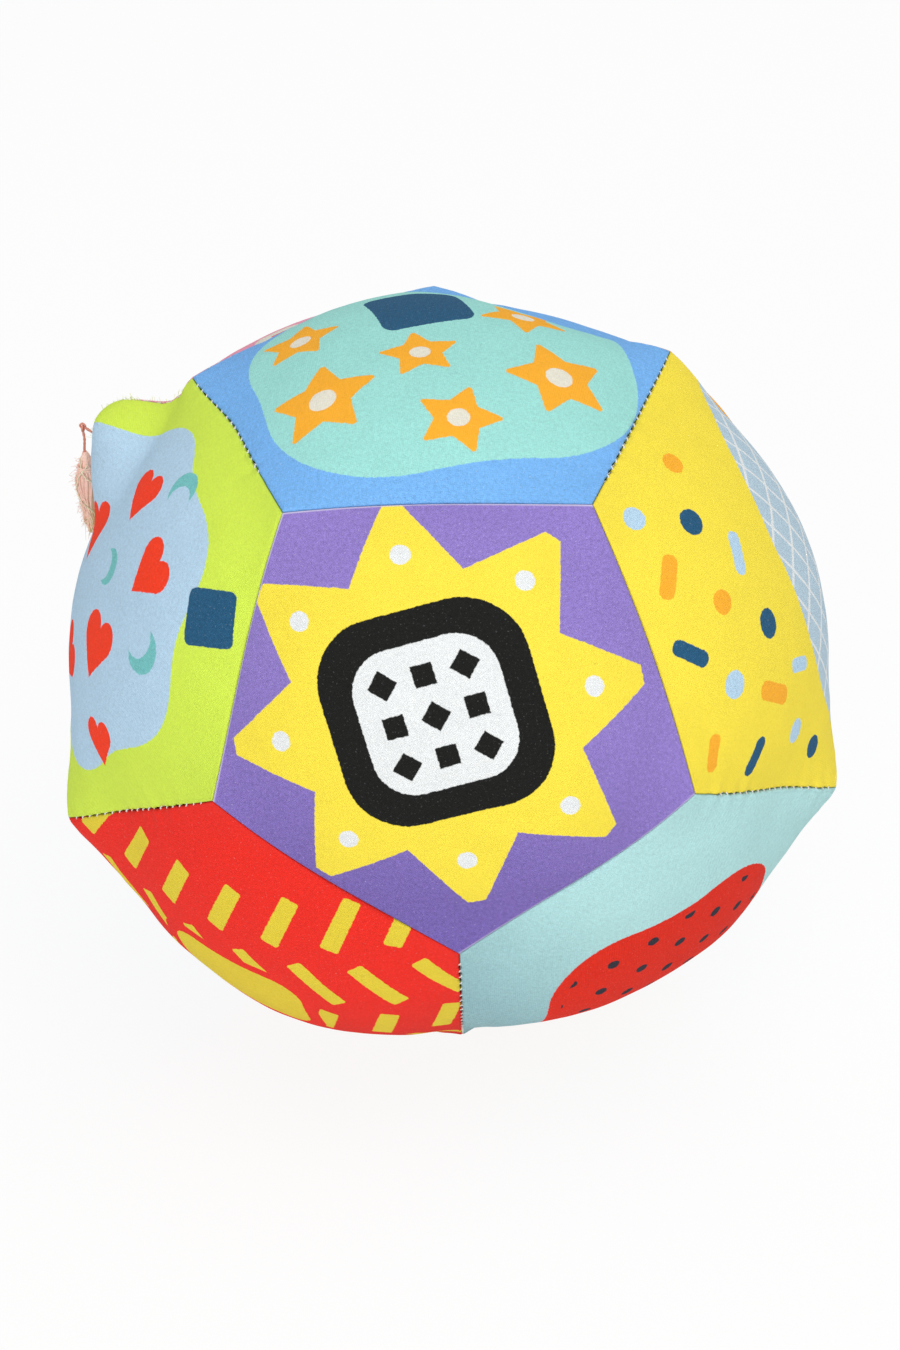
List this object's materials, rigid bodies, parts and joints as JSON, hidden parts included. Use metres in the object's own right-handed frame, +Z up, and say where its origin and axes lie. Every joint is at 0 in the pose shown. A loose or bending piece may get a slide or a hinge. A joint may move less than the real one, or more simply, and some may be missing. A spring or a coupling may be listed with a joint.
{
  "type": "plush ball",
  "caption": "Soft stuffed baby ball sewn from five-sided printed cloth panels, with a small yarn tassel hanging from one seam and a rattle inside.",
  "frame": {"origin": "on the floor, in the middle of the flat that the ball rests on, under the ball's centre", "axes": "+Z up, -Y out of the front panel's side, +X to the right as the front panel is looked at"},
  "size_m": [0.1499, 0.1505, 0.1485],
  "materials": {
    "cloth_top": "matte",
    "cloth_front": "matte",
    "cloth_right": "matte",
    "cloth_back_right": "matte",
    "cloth_back_left": "matte",
    "cloth_left": "matte",
    "cloth_lower_front_right": "matte",
    "cloth_lower_right": "matte",
    "cloth_lower_back": "matte",
    "cloth_lower_left": "matte",
    "cloth_lower_front_left": "matte",
    "cloth_bottom": "matte",
    "thread": "matte",
    "fibrefill": "matte",
    "rattle_shell": "satin",
    "rattle_bead": "gloss",
    "yarn": "matte"
  },
  "bodies": {
    "ball": {"panel_top": "cloth_top", "panel_front": "cloth_front", "panel_right": "cloth_right", "panel_back_right": "cloth_back_right", "panel_back_left": "cloth_back_left", "panel_left": "cloth_left", "panel_lower_front_right": "cloth_lower_front_right", "panel_lower_right": "cloth_lower_right", "panel_lower_back": "cloth_lower_back", "panel_lower_left": "cloth_lower_left", "panel_lower_front_left": "cloth_lower_front_left", "panel_bottom": "cloth_bottom", "seam_thread_top_front": "thread", "seam_thread_top_right": "thread", "seam_thread_top_back_right": "thread", "seam_thread_top_back_left": "thread", "seam_thread_top_left": "thread", "seam_thread_front_right": "thread", "seam_thread_front_left": "thread", "seam_thread_front_lower_front_right": "thread", "seam_thread_front_lower_front_left": "thread", "seam_thread_right_back_right": "thread", "seam_thread_right_lower_front_right": "thread", "seam_thread_right_lower_right": "thread", "seam_thread_back_right_back_left": "thread", "seam_thread_back_right_lower_right": "thread", "seam_thread_back_right_lower_back": "thread", "seam_thread_back_left_left_upper": "thread", "seam_thread_back_left_left_lower": "thread", "seam_thread_back_left_lower_back": "thread", "seam_thread_back_left_lower_left": "thread", "seam_thread_left_lower_left": "thread", "seam_thread_left_lower_front_left": "thread", "seam_thread_lower_front_right_lower_right": "thread", "seam_thread_lower_front_right_lower_front_left": "thread", "seam_thread_lower_front_right_bottom": "thread", "seam_thread_lower_right_lower_back": "thread", "seam_thread_lower_right_bottom": "thread", "seam_thread_lower_back_lower_left": "thread", "seam_thread_lower_back_bottom": "thread", "seam_thread_lower_left_lower_front_left": "thread", "seam_thread_lower_left_bottom": "thread", "seam_thread_lower_front_left_bottom": "thread", "stuffing_lower": "fibrefill", "stuffing_upper": "fibrefill", "rattle_cup": "rattle_shell", "rattle_cap": "rattle_shell"},
    "tassel_loop": {"tassel_cord": "yarn"},
    "tassel": {"tassel_neck": "yarn", "tassel_yarn": "yarn", "tassel_binding": "thread"},
    "bead_1": {"rattle_bead_1": "rattle_bead"},
    "bead_2": {"rattle_bead_2": "rattle_bead"},
    "bead_3": {"rattle_bead_3": "rattle_bead"},
    "bead_4": {"rattle_bead_4": "rattle_bead"}
  },
  "joints": [
    {"name": "tassel_swing", "type": "hinge", "parent": "ball", "child": "tassel_loop", "pos_m": [-0.06558, 0.02131, 0.11569], "axis": [-0.809, 0.2629, 0.5257], "range_deg": [-40, 40]},
    {"name": "tassel_lift", "type": "hinge", "parent": "tassel_loop", "child": "tassel", "pos_m": [-0.07003, 0.02275, 0.11858], "axis": [0.309, 0.9511, 0], "range_deg": [0, 140]},
    {"name": "bead_1_drop", "type": "slide", "parent": "ball", "child": "bead_1", "axis": [0, 0, 1], "range_m": [0, 0.0204]},
    {"name": "bead_2_drop", "type": "slide", "parent": "ball", "child": "bead_2", "axis": [0, 0, 1], "range_m": [0, 0.0204]},
    {"name": "bead_3_drop", "type": "slide", "parent": "ball", "child": "bead_3", "axis": [0, 0, 1], "range_m": [0, 0.0204]},
    {"name": "bead_4_drop", "type": "slide", "parent": "ball", "child": "bead_4", "axis": [0, 0, 1], "range_m": [0, 0.0204]}
  ]
}
